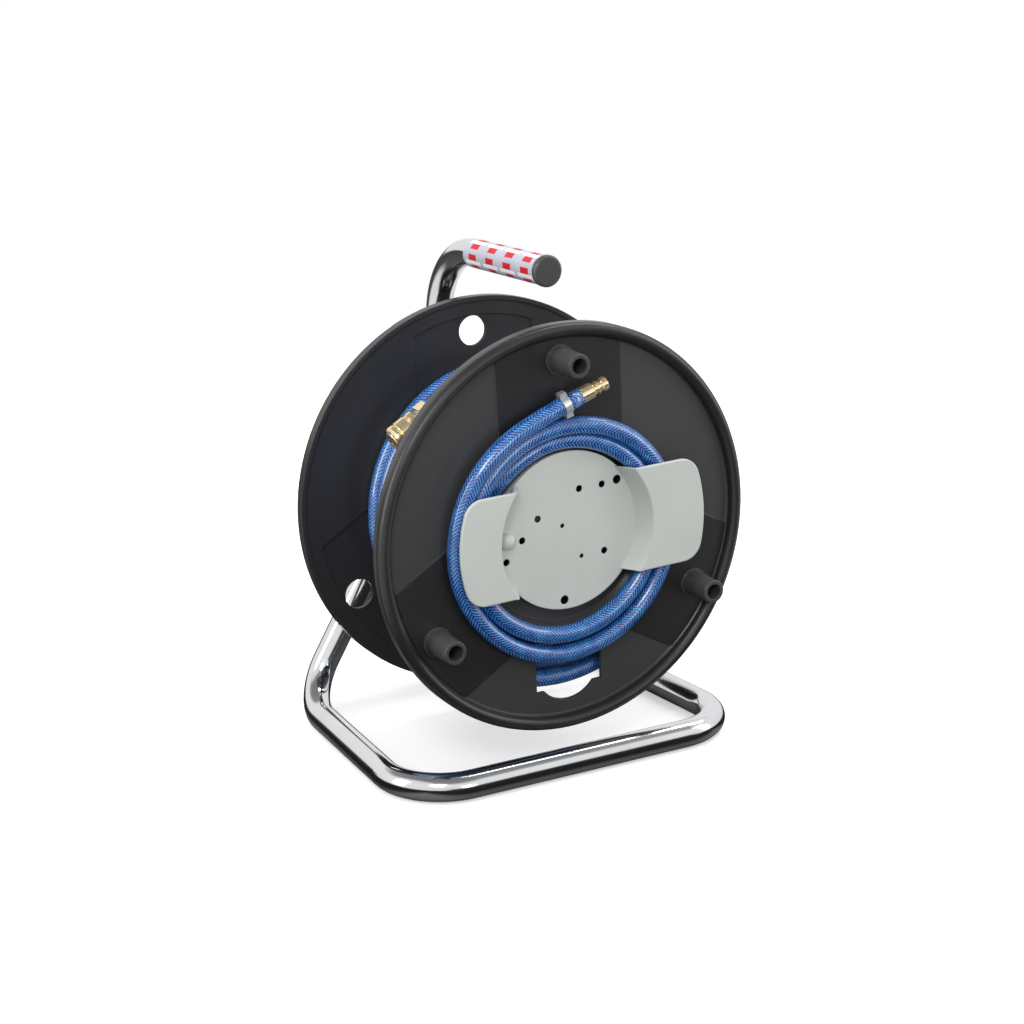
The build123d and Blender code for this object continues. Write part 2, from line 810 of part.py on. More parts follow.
screw_seat = well_bottom - well_floor - running_gap
with BuildPart() as holder_screws:
    with BuildSketch(drum_plane(screw_seat)):
        with Locations(*well_spots):
            Circle(screw_head_d / 2)
    extrude(amount=screw_head)
    with BuildSketch(drum_plane(screw_seat)):
        with Locations(*well_spots):
            Circle(screw_d / 2)
    extrude(amount=-screw_length)
write(holder_screws.part, "holder_screws")

# ---------------------------------------------------------------- hose coils
with BuildPart() as hose_winding:
    with BuildSketch(profile_plane):
        Polygon(
            (core_r + side_gap, winding_front),
            (core_r + side_gap, winding_back),
            (third_r, winding_back),
            (fourth_r, fourth_end),
            (fourth_r, fifth_end),
            (fifth_r, fifth_end),
            (fifth_r, web_back + side_gap),
            (slot_outer_r + 1, web_back + side_gap),
            (slot_outer_r + 1, winding_front),
            align=None,
        )
    revolve(axis=drum_axis)
write(hose_winding.part, "hose_winding")

slot_run_seat = 0.02
slot_run_start = drum_plane(winding_front - slot_run_seat, slot_mid)
with BuildPart() as hose_slot_run:
    run = ring_sector(slot_run_start, feed_inner_r, core_r + hose_d, slot_run_angle)
    extrude(run, amount=winding_front - feed_plane - hose_r - 2 * slot_run_seat)
write(hose_slot_run.part, "hose_slot_run")

with BuildPart() as hose_feed_coil:
    with BuildSketch(drum_plane(feed_plane + hose_r)):
        with Locations(feed_ring_shift):
            Ellipse(*feed_ring_radii)
        Circle(feed_inner_r, mode=Mode.SUBTRACT)
    extrude(amount=hose_d)
    fillet(hose_feed_coil.edges(), radius=feed_ring_round)
write(hose_feed_coil.part, "hose_feed_coil")


# ---------------------------------------------------------------- hose ends
def corner_radii(points):
    """Arc radius at each corner: 0.45 of the shorter run over the tangent of half the turn."""
    radii = []
    for before, here, after in zip(points, points[1:], points[2:]):
        into = here - before
        out = after - here
        half_turn = math.radians(into.get_angle(out)) / 2
        radii.append(0.45 * min(into.length, out.length) / math.tan(half_turn))
    return radii


def hose_tube(points, label):
    """A stretch of hose along a route of points, as an open tube."""
    radii = corner_radii(points)
    with BuildPart() as hose:
        with BuildLine() as route:
            FilletPolyline(*points, radius=radii)
        line = route.wire()
        with BuildSketch(Plane(origin=line @ 0, z_dir=line % 0)):
            Circle(hose_r)
            Circle(barb_r, mode=Mode.SUBTRACT)
        sweep()
    print(label, "length", round(line.length, 1), "radii", [round(radius) for radius in radii])
    write(hose.part, label)


def ear_clamp(plane, label):
    """A hose clamp round the plane's normal: a thin band with a hollow ear on two sides."""
    band_r = hose_r + running_gap
    ear_at = band_r + ear_height / 2
    with BuildPart() as clamp:
        with BuildSketch(plane):
            Circle(band_r + band_t)
            with Locations((0, ear_at), (0, -ear_at)):
                Rectangle(ear_width, ear_height)
            with Locations((0, ear_at - band_t), (0, band_t - ear_at)):
                Rectangle(ear_width - 2 * band_t, ear_height, mode=Mode.SUBTRACT)
            Circle(band_r, mode=Mode.SUBTRACT)
        extrude(amount=band_width / 2, both=True)
    write(clamp.part, label)


# Free end of the hose at the front: radius, angle and depth, from the coil to the nipple.
feed_tail_route = [
    on_drum(91.0, 180, feed_plane - 0.5),
    on_drum(90.6, 154, feed_plane - 2.5),
    on_drum(88.6, 128, feed_plane - 4.5),
    on_drum(88.5, 100.8, feed_plane - 3.8),
    on_drum(95.8, 85.0, feed_plane - 5.5),
]
hose_tube(feed_tail_route, "hose_feed_tail")

tail_end = feed_tail_route[-1]
tail_direction = (tail_end - feed_tail_route[-2]).normalized()
nipple_plane = Plane(origin=tail_end, x_dir=(0, 1, 0), z_dir=tail_direction)
ear_clamp(nipple_plane.offset(-feed_clamp_back), "feed_clamp")

body_r, body_end = nipple_body
ridge_r, ridge_start, ridge_end = nipple_ridge
tip_r, tip_start, tip_end = nipple_tip
barb_outline = [
    (0, -barb_length),
    (barb_r - barb_taper, -barb_length),
    (barb_r - running_gap, barb_tip - barb_length),
    (barb_r - running_gap, 0),
]
nipple_outline = barb_outline + [
    (body_r, running_gap),
    (body_r, body_end),
    (nipple_neck_r + 0.3, body_end + 0.8),
    (nipple_neck_r + 0.3, ridge_start - 0.4),
    (ridge_r, ridge_start),
    (ridge_r, ridge_end),
    (nipple_neck_r, ridge_end + 0.4),
    (nipple_neck_r, tip_start - 0.6),
    (tip_r, tip_start),
    (tip_r, tip_end),
    (tip_r - 0.6, nipple_length),
    (0, nipple_length),
]
write(turned_piece(nipple_plane, nipple_outline, nipple_bore_d / 2), "plug_nipple")

# ---------------------------------------------------------------- quick coupler
coupler_turn = math.radians(coupler_angle + drum_phase)
mouth_direction = Vector(-math.sin(coupler_turn), 0, math.cos(coupler_turn))
touching_point = on_drum(coupler_r, coupler_angle, coupler_depth)
coupler_zero = touching_point + mouth_direction * coupler_offset
coupler_plane = Plane(origin=coupler_zero, x_dir=(0, 1, 0), z_dir=mouth_direction)
hose_end = coupler_zero - mouth_direction * hex_length

spring_start = 0.5
step_at = spring_start + sleeve_spring_length + sleeve_travel + 0.4
sleeve_back = sleeve_travel + side_gap
ring_seat = coupler_mouth - 0.5 - ring_t
sleeve_front = ring_seat - 0.1
ball_at = coupler_mouth - ball_back
socket_floor = coupler_mouth - socket_length
seal_at = socket_floor + seal_back
valve_front = socket_floor - valve_lip
valve_back = valve_front - 0.1 - valve_head
hex_turned_r = hex_af / 2 - 0.4

barrel_outline = [(radius, place - hex_length) for radius, place in barb_outline] + [
    (hex_turned_r, -hex_length),
    (hex_turned_r, 0),
    (spring_seat_r, 0),
    (spring_seat_r, step_at),
    (barrel_r, step_at + 0.8),
    (barrel_r, ring_seat),
    (barrel_r - ring_t, ring_seat),
    (barrel_r - ring_t, ring_seat + ring_t),
    (barrel_r - 0.2, ring_seat + ring_t),
    (barrel_r - 0.7, coupler_mouth),
    (0, coupler_mouth),
]
barrel = turned_piece(coupler_plane, barrel_outline, air_bore_r)
ball_planes = [
    Plane(
        origin=coupler_plane.offset(ball_at).origin,
        x_dir=mouth_direction,
        z_dir=coupler_plane.x_dir.rotate(Axis((0, 0, 0), mouth_direction), index * 360 / ball_count),
    )
    for index in range(ball_count)
]

with BuildPart() as coupler_body:
    add(barrel)
    with BuildSketch(coupler_plane.offset(-hex_length)):
        RegularPolygon(hex_af / 2, 6, major_radius=False)
        Circle(air_bore_r, mode=Mode.SUBTRACT)
    extrude(amount=hex_length)
    with BuildSketch(coupler_plane.offset(socket_floor)):
        Circle(socket_r)
    extrude(amount=socket_length + 1, mode=Mode.SUBTRACT)
    with BuildSketch(coupler_plane.offset(seal_at - seal_d / 2 - seal_room)):
        Circle(socket_r + seal_d + 2 * seal_room)
    extrude(amount=seal_d + 2 * seal_room, mode=Mode.SUBTRACT)
    with BuildSketch(coupler_plane.offset(valve_front - valve_room)):
        Circle(valve_r + valve_side_room)
    extrude(amount=valve_room, mode=Mode.SUBTRACT)
    with BuildSketch(coupler_plane.offset(valve_front)):
        Circle(valve_seat_r)
    extrude(amount=valve_lip, mode=Mode.SUBTRACT)
    for ball_plane in ball_planes:
        with BuildSketch(ball_plane):
            Circle(ball_r + ball_room)
        extrude(amount=barrel_r + 1, mode=Mode.SUBTRACT)
write(coupler_body.part, "coupler_body")

with BuildPart() as locking_balls:
    for ball_plane in ball_planes:
        with Locations(ball_plane.offset(barrel_r - ball_r - running_gap).origin):
            Sphere(ball_r)
write(locking_balls.part, "locking_balls")

sleeve_bore = barrel_r + running_gap
groove_r = sleeve_r - sleeve_groove
sleeve_outline = [
    (sleeve_bore + sleeve_pocket, sleeve_back),
    (sleeve_r - 0.4, sleeve_back),
    (sleeve_r, sleeve_back + 0.4),
    (sleeve_r, sleeve_back + 4.2),
    (groove_r, sleeve_back + 4.6),
    (groove_r, sleeve_back + 5.0),
    (sleeve_r - 0.1, sleeve_back + 5.3),
    (groove_r, sleeve_back + 5.7),
    (groove_r, sleeve_back + 6.1),
    (sleeve_r, sleeve_back + 6.6),
    (sleeve_r, sleeve_back + 14.4),
    (groove_r, sleeve_back + 15.0),
    (groove_r, sleeve_back + 15.5),
    (sleeve_r, sleeve_back + 16.0),
    (sleeve_r, sleeve_front - 2.0),
    (groove_r, sleeve_front),
    (sleeve_bore, sleeve_front),
    (sleeve_bore, step_at + 1.0),
    (sleeve_bore + sleeve_pocket, step_at + 1.0),
]
write(turned_piece(coupler_plane, sleeve_outline), "coupler_sleeve")


def coil_spring(start, length, radius, wire, turns, label):
    """A helical compression spring on the coupler's axis."""
    with BuildPart() as spring:
        with BuildLine() as coil:
            Helix(
                pitch=length / turns,
                height=length,
                radius=radius,
                center=coupler_plane.offset(start).origin,
                direction=coupler_plane.z_dir,
            )
        line = coil.wire()
        with BuildSketch(Plane(origin=line @ 0, z_dir=line % 0)):
            Circle(wire / 2)
        sweep(is_frenet=True)
    write(spring.part, label)


coil_spring(
    spring_start,
    sleeve_spring_length - 1.0,
    spring_seat_r + 0.3 + sleeve_spring_wire / 2,
    sleeve_spring_wire,
    3,
    "sleeve_spring",
)
coil_spring(
    valve_front - valve_room + 0.4,
    valve_room - valve_head - valve_travel - 1.2,
    valve_spring_r,
    valve_spring_wire,
    4,
    "valve_spring",
)

valve_outline = [
    (0, valve_back),
    (valve_r, valve_back),
    (valve_r, valve_back + valve_head),
    (valve_seat_r - 0.3, valve_back + valve_head),
    (valve_seat_r - 0.3, socket_floor - 0.5),
    (valve_seat_r - 0.7, socket_floor - 0.1),
    (0, socket_floor - 0.1),
]
write(turned_piece(coupler_plane, valve_outline), "coupler_valve")

seal_plane = Plane(
    origin=coupler_plane.offset(seal_at).origin,
    x_dir=coupler_plane.x_dir,
    z_dir=-coupler_plane.y_dir,
)
with BuildPart() as socket_seal:
    with BuildSketch(seal_plane):
        with Locations((socket_r + seal_room + seal_d / 2, 0)):
            Circle(seal_d / 2)
    revolve(axis=Axis(coupler_plane.origin, mouth_direction))
write(socket_seal.part, "socket_seal")

ring_outline = [
    (barrel_r - ring_t + running_gap, ring_seat + running_gap),
    (barrel_r + 1.0, ring_seat + running_gap),
    (barrel_r + 1.0, ring_seat + ring_t - running_gap),
    (barrel_r - ring_t + running_gap, ring_seat + ring_t - running_gap),
]
write(turned_piece(coupler_plane, ring_outline), "sleeve_ring")

# Outer end of the hose, from the winding's last turn to the coupler.
lead_out_route = [
    on_drum(lead_r, -67, lead_depth),
    on_drum(lead_r, -40, lead_depth + 1.5),
    on_drum(lead_r, -12, lead_depth + 3.0),
    on_drum(lead_r, 16, lead_depth + 4.6),
    on_drum(lead_r, 44, lead_depth + 6.2),
    on_drum(lead_r, 72, lead_depth + 7.8),
    on_drum(lead_r, 99, coupler_depth - 0.4),
    touching_point - mouth_direction * 2,
    hose_end,
]
hose_tube(lead_out_route, "hose_lead_out")

clamp_side = mouth_direction.cross(Vector(0, 1, 0))
ear_clamp(
    Plane(origin=hose_end - mouth_direction * coupler_clamp_back, x_dir=clamp_side, z_dir=mouth_direction),
    "coupler_clamp",
)
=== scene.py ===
import json
import math

import bmesh
import bpy
from mathutils import Matrix, Vector


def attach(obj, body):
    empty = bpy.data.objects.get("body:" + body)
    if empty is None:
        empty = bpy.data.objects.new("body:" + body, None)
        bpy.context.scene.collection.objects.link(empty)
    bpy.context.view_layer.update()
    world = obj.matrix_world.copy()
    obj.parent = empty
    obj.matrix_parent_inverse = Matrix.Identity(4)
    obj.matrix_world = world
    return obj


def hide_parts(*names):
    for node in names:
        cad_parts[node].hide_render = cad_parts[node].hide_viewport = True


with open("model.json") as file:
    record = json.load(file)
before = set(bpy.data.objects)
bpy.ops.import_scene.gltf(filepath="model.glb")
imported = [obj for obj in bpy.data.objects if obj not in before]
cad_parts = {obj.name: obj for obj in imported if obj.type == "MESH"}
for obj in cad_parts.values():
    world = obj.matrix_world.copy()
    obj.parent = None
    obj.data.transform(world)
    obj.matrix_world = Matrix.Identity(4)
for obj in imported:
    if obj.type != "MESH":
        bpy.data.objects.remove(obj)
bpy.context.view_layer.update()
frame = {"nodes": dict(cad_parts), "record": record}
nodes = frame["nodes"]

joints = {joint["name"]: joint for joint in frame["record"]["behaviour"]["joints"]}

# ---------------------------------------------------------------- places from the frame
AXIS_Z = joints["drum_spin"]["pos_m"][2]  # the drum's axis above the floor
COUPLER_MOUTH = -Vector(joints["sleeve_slide"]["axis"])  # the sleeve pulls back from the mouth

# ---------------------------------------------------------------- places shared with part.py
RIM_Y = -0.086  # the widest circle of the drum's front rim
PHASE = 2.0  # how far the drum stands turned at rest, degrees
HOSE_R = 0.00615
FEED_DEPTH = -4.5  # depth of the free end's line behind the front rim, millimetres
DISC_ROOM_R = (0.0538, 0.0544)  # the holder's holes lie inside this radius, where painted shade darkens them
HOLE_SHADE_Y = (-0.08715, -0.0866)  # and the painted shade begins at this depth
PANEL_Y = (-0.0836, -0.0832)  # the front web's raised panels end here, and its sectors begin
GRIP_START_Y = -0.0594  # front end of the grip's print
GRIP_LENGTH = 0.099
GRIP_Z = 0.3495  # the grip's centre line there
GRIP_SLOPE = -0.0094  # and its rise for each metre towards the rear
COUPLER_ZERO = Vector((-0.0835314, -0.033, 0.2521088))
STAND_HALF = (0.136, 0.110)  # the floor close round the stand, from its middle


def on_drum(radius, degrees, depth):
    """A point by radius, angle from the right and depth behind the front rim, in millimetres."""
    angle = math.radians(degrees + PHASE)
    return Vector(
        (
            radius / 1000 * math.cos(angle),
            RIM_Y + depth / 1000,
            AXIS_Z + radius / 1000 * math.sin(angle),
        )
    )


# ---------------------------------------------------------------- camera
CAMERA_PLACE = (-0.7032, -1.2722, 0.5807)
CAMERA_TURN = (-29.082, 15.96, -0.907)  # azimuth, elevation and roll, degrees
CAMERA_LENS = 73.247
SENSOR_WIDTH = 36


def aim_camera():
    azimuth, elevation, roll = (math.radians(v) for v in CAMERA_TURN)
    back = Vector(
        (
            math.sin(azimuth) * math.cos(elevation),
            -math.cos(azimuth) * math.cos(elevation),
            math.sin(elevation),
        )
    )
    right = Vector((0, 0, 1)).cross(back).normalized()
    up = back.cross(right)
    side = right * math.cos(roll) + up * math.sin(roll)
    top = -right * math.sin(roll) + up * math.cos(roll)
    data = bpy.data.cameras.new("camera")
    data.lens = CAMERA_LENS
    data.sensor_width = SENSOR_WIDTH
    camera = bpy.data.objects.new("camera", data)
    bpy.context.scene.collection.objects.link(camera)
    turn = Matrix((side, top, back)).transposed().to_4x4()
    camera.matrix_world = Matrix.Translation(CAMERA_PLACE) @ turn
    bpy.context.scene.camera = camera


aim_camera()
bpy.context.scene.view_settings.view_transform = "Standard"


# ---------------------------------------------------------------- node helpers
class Nodes:
    """A material's node tree with short calls for the nodes it needs."""

    def __init__(self, name):
        self.material = bpy.data.materials.new(name)
        self.material.use_nodes = True
        self.tree = self.material.node_tree
        self.shader = self.tree.nodes["Principled BSDF"]

    def put(self, socket, value):
        if isinstance(value, bpy.types.NodeSocket):
            self.tree.links.new(value, socket)
        else:
            socket.default_value = value

    def add(self, kind, out=0, settings=None, **inputs):
        node = self.tree.nodes.new(kind)
        for key, value in (settings or {}).items():
            setattr(node, key, value)
        for key, value in inputs.items():
            self.put(node.inputs[key.replace("_", " ")], value)
        return node.outputs[out]

    def math(self, operation, first, second=0.0, third=0.0):
        node = self.tree.nodes.new("ShaderNodeMath")
        node.operation = operation
        for socket, value in zip(node.inputs, (first, second, third)):
            self.put(socket, value)
        return node.outputs[0]

    def spot(self):
        """Object coordinates."""
        return self.add("ShaderNodeTexCoord", "Object")

    def split(self, vector):
        """A vector's x, y and z."""
        parts = self.tree.nodes.new("ShaderNodeSeparateXYZ")
        self.put(parts.inputs[0], vector)
        return parts.outputs[0], parts.outputs[1], parts.outputs[2]

    def length(self, vector):
        node = self.tree.nodes.new("ShaderNodeVectorMath")
        node.operation = "LENGTH"
        self.put(node.inputs[0], vector)
        return node.outputs["Value"]

    def edge(self, radius, samples=4):
        """A normal that rounds sharp edges by a small radius."""
        return self.add("ShaderNodeBevel", 0, {"samples": samples}, Radius=radius)

    def mix_shaders(self, share, first, second):
        node = self.tree.nodes.new("ShaderNodeMixShader")
        for socket, value in zip(node.inputs, (share, first, second)):
            self.put(socket, value)
        return node.outputs[0]

    def noise(self, spot, scale, detail=2.0, rough=0.5):
        return self.add(
            "ShaderNodeTexNoise", 0, Vector=spot, Scale=scale, Detail=detail, Roughness=rough
        )

    def spread(self, value, low, high, to_low=0.0, to_high=1.0, smooth=False):
        """Value mapped from one range to another, and held at the ends."""
        node = self.tree.nodes.new("ShaderNodeMapRange")
        if smooth:
            node.interpolation_type = "SMOOTHSTEP"
        for socket, item in zip(node.inputs, (value, low, high, to_low, to_high)):
            self.put(socket, item)
        return node.outputs[0]

    def mix(self, share, first, second):
        node = self.tree.nodes.new("ShaderNodeMix")
        node.data_type = "RGBA"
        self.put(node.inputs[0], share)
        self.put(node.inputs[6], first)
        self.put(node.inputs[7], second)
        return node.outputs[2]

    def bump(self, height, distance, strength=1.0, normal=None):
        node = self.tree.nodes.new("ShaderNodeBump")
        self.put(node.inputs["Height"], height)
        node.inputs["Distance"].default_value = distance
        node.inputs["Strength"].default_value = strength
        if normal is not None:
            self.put(node.inputs["Normal"], normal)
        return node.outputs[0]

    def surface(self, **inputs):
        for key, value in inputs.items():
            self.put(self.shader.inputs[key.replace("_", " ")], value)
        return self.material


def grey(value):
    return (value, value, value, 1)


def darker(colour, share):
    return tuple(c * share for c in colour[:3]) + (1,)


# ---------------------------------------------------------------- materials
def drum_plastic(name, dark, light=None, step_y=None):
    """Moulded black plastic with a fine skin: dark in front of a step in y, light behind it."""
    n = Nodes(name)
    spot = n.spot()
    grain = n.noise(spot, 2600.0, 3.0, 0.6)
    cloud = n.noise(spot, 14.0, 3.0, 0.55)
    base = n.mix(n.spread(cloud, 0.3, 0.7), dark, darker(dark, 1.12))
    if step_y:
        base = n.mix(n.spread(n.split(spot)[1], *step_y), base, light)
    return n.surface(
        Base_Color=base,
        Roughness=n.spread(cloud, 0.3, 0.7, 0.29, 0.35),
        Normal=n.bump(grain, 0.00008, 0.35, n.edge(0.0010)),
        Specular_IOR_Level=0.5,
    )


def plain_plastic(name, colour, rough):
    n = Nodes(name)
    spot = n.spot()
    grain = n.noise(spot, 2200.0, 3.0, 0.6)
    cloud = n.noise(spot, 22.0, 4.0, 0.6)
    return n.surface(
        Base_Color=n.mix(n.spread(cloud, 0.25, 0.75), darker(colour, 0.93), colour),
        Roughness=n.spread(cloud, 0.3, 0.7, rough - 0.04, rough + 0.05),
        Normal=n.bump(grain, 0.00006, 0.4, n.edge(0.0005)),
    )


def metal(name, colour, dark, rough, metallic=1.0):
    """Turned or plated metal, with fine marks and a faint cloud of wear."""
    n = Nodes(name)
    spot = n.spot()
    cloud = n.noise(spot, 60.0, 5.0, 0.6)
    fine = n.noise(spot, 3500.0, 2.0, 0.5)
    return n.surface(
        Base_Color=n.mix(n.spread(cloud, 0.35, 0.75), colour, dark),
        Metallic=metallic,
        Roughness=n.spread(cloud, 0.3, 0.7, rough * 0.8, rough * 1.25),
        Normal=n.bump(fine, 0.00002, 0.3, n.edge(0.00025)),
    )


def chrome(name):
    n = Nodes(name)
    spot = n.spot()
    cloud = n.noise(spot, 25.0, 4.0, 0.6)
    fine = n.noise(spot, 900.0, 2.0, 0.5)
    return n.surface(
        Base_Color=n.mix(
            n.spread(cloud, 0.3, 0.8), (0.80, 0.81, 0.82, 1), (0.70, 0.71, 0.73, 1)
        ),
        Metallic=1.0,
        Roughness=n.spread(cloud, 0.3, 0.75, 0.09, 0.16),
        Normal=n.bump(fine, 0.00001, 0.15),
    )


def hose_pvc(name, columns=8, pitch=0.0026, slant=1.75):
    """Clear blue hose over a braid whose light threads lean to and fro from column to column.

    The UV map's u is once round the hose and its v is metres along it.
    """
    n = Nodes(name)
    uv = n.add("ShaderNodeUVMap", 0, {"uv_map": "hose"})
    round_it, metres, _ = n.split(uv)
    across = n.math("MULTIPLY", round_it, float(columns))
    inside = n.math("FRACT", across)
    odd = n.math("FLOORED_MODULO", n.math("FLOOR", across), 2.0)
    lean = n.math("MULTIPLY_ADD", odd, -2.0 * slant, slant)
    place = n.math("MULTIPLY_ADD", inside, lean, n.math("DIVIDE", metres, pitch))
    off = n.math("ABSOLUTE", n.math("SUBTRACT", n.math("FRACT", place), 0.5))
    border = n.math("ABSOLUTE", n.math("SUBTRACT", inside, 0.5))
    thread = n.math(
        "MULTIPLY",
        n.spread(off, 0.14, 0.27, 1.0, 0.0, True),
        n.spread(border, 0.40, 0.48, 1.0, 0.25, True),
    )
    cloud = n.noise(n.spot(), 160.0, 3.0, 0.6)
    deep = n.mix(n.spread(cloud, 0.3, 0.7), (0.004, 0.012, 0.14, 1), (0.006, 0.030, 0.26, 1))
    light = n.mix(n.spread(cloud, 0.35, 0.65), (0.022, 0.18, 0.55, 1), (0.07, 0.40, 0.76, 1))
    return n.surface(
        Base_Color=n.mix(thread, deep, light),
        Roughness=0.35,
        Specular_IOR_Level=0.4,
        Normal=n.bump(thread, 0.00025, 0.5),
        Coat_Weight=1.0,
        Coat_IOR=1.75,
        Coat_Roughness=0.07,
        Coat_Normal=n.bump(thread, 0.00016, 0.5),
    )


def rubber(name):
    n = Nodes(name)
    grain = n.noise(n.spot(), 1500.0, 3.0, 0.6)
    return n.surface(
        Base_Color=n.mix(n.spread(grain, 0.3, 0.7), grey(0.012), grey(0.022)),
        Roughness=0.6,
        Normal=n.bump(grain, 0.00005, 0.4),
    )


def grip_print(name, start, length, centre_z, slope):
    """Silver sleeve with a grid of plain red bars, and pale bars in every other gap."""
    n = Nodes(name)
    spot = n.spot()
    x, y, z = n.split(spot)
    past_start = n.math("SUBTRACT", y, start)
    middle = n.math("ADD", centre_z, n.math("MULTIPLY", past_start, slope))
    turns = n.math("DIVIDE", n.math("ARCTAN2", x, n.math("SUBTRACT", z, middle)), 2 * math.pi)
    along = n.math("MULTIPLY_ADD", n.math("DIVIDE", past_start, length), 4.0, 0.06)
    around = n.math("MULTIPLY_ADD", turns, 8.0, 0.55)

    def bar(place, half_length, ring, half_width):
        """Mask of bars spaced one apart along the sleeve and one apart round it."""
        side = n.math("SUBTRACT", n.math("FRACT", place), 0.5)
        turn = n.math("SUBTRACT", n.math("FRACT", ring), 0.5)
        near = n.spread(n.math("ABSOLUTE", side), half_length, half_length + 0.012, 1.0, 0.0)
        return n.math(
            "MULTIPLY",
            near,
            n.spread(n.math("ABSOLUTE", turn), half_width, half_width + 0.03, 1.0, 0.0),
        )

    red = bar(along, 0.215, around, 0.25)
    gaps = n.math("MULTIPLY_ADD", around, 0.5, 0.5)
    pale = bar(along, 0.43, gaps, 0.08)
    cloud = n.noise(spot, 60.0, 4.0, 0.6)
    silver = n.mix(n.spread(cloud, 0.3, 0.7), (0.40, 0.42, 0.48, 1), (0.47, 0.49, 0.55, 1))
    ground = n.mix(pale, silver, (0.86, 0.86, 0.88, 1))
    return n.surface(
        Base_Color=n.mix(red, ground, (0.56, 0.006, 0.014, 1)),
        Roughness=n.spread(cloud, 0.3, 0.7, 0.36, 0.46),
        Normal=n.bump(n.noise(spot, 1800.0, 2.0, 0.5), 0.00003, 0.3),
        Specular_IOR_Level=0.3,
        Coat_Weight=0.1,
        Coat_Roughness=0.2,
    )


def holder_plastic(name, colour):
    """Grey moulded plastic, with painted shade making its wells and holes near black inside."""
    n = Nodes(name)
    spot = n.spot()
    x, y, z = n.split(spot)
    grain = n.noise(spot, 2200.0, 3.0, 0.6)
    cloud = n.noise(spot, 18.0, 4.0, 0.6)
    flat = n.add("ShaderNodeCombineXYZ", 0, X=x, Y=n.math("SUBTRACT", z, AXIS_Z), Z=0.0)
    inner = n.spread(n.length(flat), *DISC_ROOM_R, 1.0, 0.0)
    # painted shade: near black inside the holes and wells, within that radius and behind that
    # depth
    painted_hole_shade = n.math("MULTIPLY", inner, n.spread(y, *HOLE_SHADE_Y))
    face = n.mix(n.spread(cloud, 0.25, 0.75), darker(colour, 0.92), colour)
    return n.surface(
        Base_Color=n.mix(painted_hole_shade, face, (0.010, 0.012, 0.011, 1)),
        Roughness=n.spread(cloud, 0.3, 0.7, 0.30, 0.37),
        Normal=n.bump(grain, 0.00005, 0.35, n.edge(0.0012, 6)),
    )


PANEL = (0.017, 0.017, 0.018, 1)
SECTOR = (0.047, 0.047, 0.048, 1)
REAR = (0.031, 0.029, 0.028, 1)
front_plastic = drum_plastic("drum_front_plastic", PANEL, SECTOR, PANEL_Y)
rear_plastic = drum_plastic("drum_rear_plastic", REAR)
black = plain_plastic("black_plastic", (0.058, 0.058, 0.059, 1), 0.27)
bush = plain_plastic("bush_plastic", (0.70, 0.69, 0.64, 1), 0.45)
holder = holder_plastic("grey_plastic", (0.560, 0.590, 0.560, 1))
zinc = metal("zinc_steel", (0.86, 0.87, 0.87, 1), (0.76, 0.77, 0.78, 1), 0.30, metallic=0.8)
oxide = metal("black_steel", (0.035, 0.035, 0.035, 1), (0.020, 0.020, 0.020, 1), 0.40)
bright = metal("bright_steel", (0.76, 0.76, 0.76, 1), (0.66, 0.66, 0.66, 1), 0.15)
brass = metal("fitting_brass", (0.98, 0.82, 0.52, 1), (0.92, 0.72, 0.40, 1), 0.17, metallic=0.9)
seal = rubber("seal_rubber")
chromed = chrome("chromed_tube")
hose = hose_pvc("hose_pvc")
grip = grip_print("grip_print", GRIP_START_Y, GRIP_LENGTH, GRIP_Z, GRIP_SLOPE)

FINISH = {
    "frame_tube": chromed,
    "grip_sleeve": grip,
    "grip_cap": black,
    "leg_end_plug": black,
    "axle_bracket": black,
    "bracket_bolts": zinc,
    "bracket_nuts": zinc,
    "axle": zinc,
    "axle_washer": zinc,
    "axle_lock_nut": zinc,
    "thrust_washer": zinc,
    "drum_front": front_plastic,
    "drum_rear": rear_plastic,
    "winding_pegs": black,
    "front_bush": bush,
    "rear_bush": bush,
    "core_tie_bolts": oxide,
    "core_tie_nuts": oxide,
    "hose_holder": holder,
    "holder_screws": oxide,
    "feed_clamp": zinc,
    "coupler_clamp": zinc,
    "plug_nipple": brass,
    "coupler_body": brass,
    "coupler_sleeve": brass,
    "coupler_valve": brass,
    "locking_balls": bright,
    "sleeve_spring": bright,
    "valve_spring": bright,
    "sleeve_ring": bright,
    "socket_seal": seal,
    "hose_winding": hose,
    "hose_slot_run": hose,
    "hose_feed_coil": hose,
    "hose_feed_tail": hose,
    "hose_lead_out": hose,
}
for name, material in FINISH.items():
    data = nodes[name].data
    data.materials.clear()
    data.materials.append(material)

# ---------------------------------------------------------------- hose
POINTS_PER_TURN = 18
STEP = 360 / POINTS_PER_TURN
OUT = 1 / math.cos(math.radians(STEP / 2))  # control points stand this many times further out


def blend(table, at):
    """A table's values at a place, on straight lines between its (place, value, value) rows."""
    for (start, *before), (end, *after) in zip(table, table[1:]):
        if at <= end:
            share = max(0.0, (at - start) / (end - start))
            return [a + (b - a) * share for a, b in zip(before, after)]
    return table[-1][1:]


# Free end at the front: radius, angle and depth from the nipple inward. It follows part.py's
# route, with the two points on the left 1.0 and 1.4 mm further out.
tail = [
    on_drum(95.8, 85.0, FEED_DEPTH - 5.5),
    on_drum(88.5, 100.8, FEED_DEPTH - 3.8),
    on_drum(90.0, 128, FEED_DEPTH - 4.5),
    on_drum(91.6, 154, FEED_DEPTH - 2.5),
]
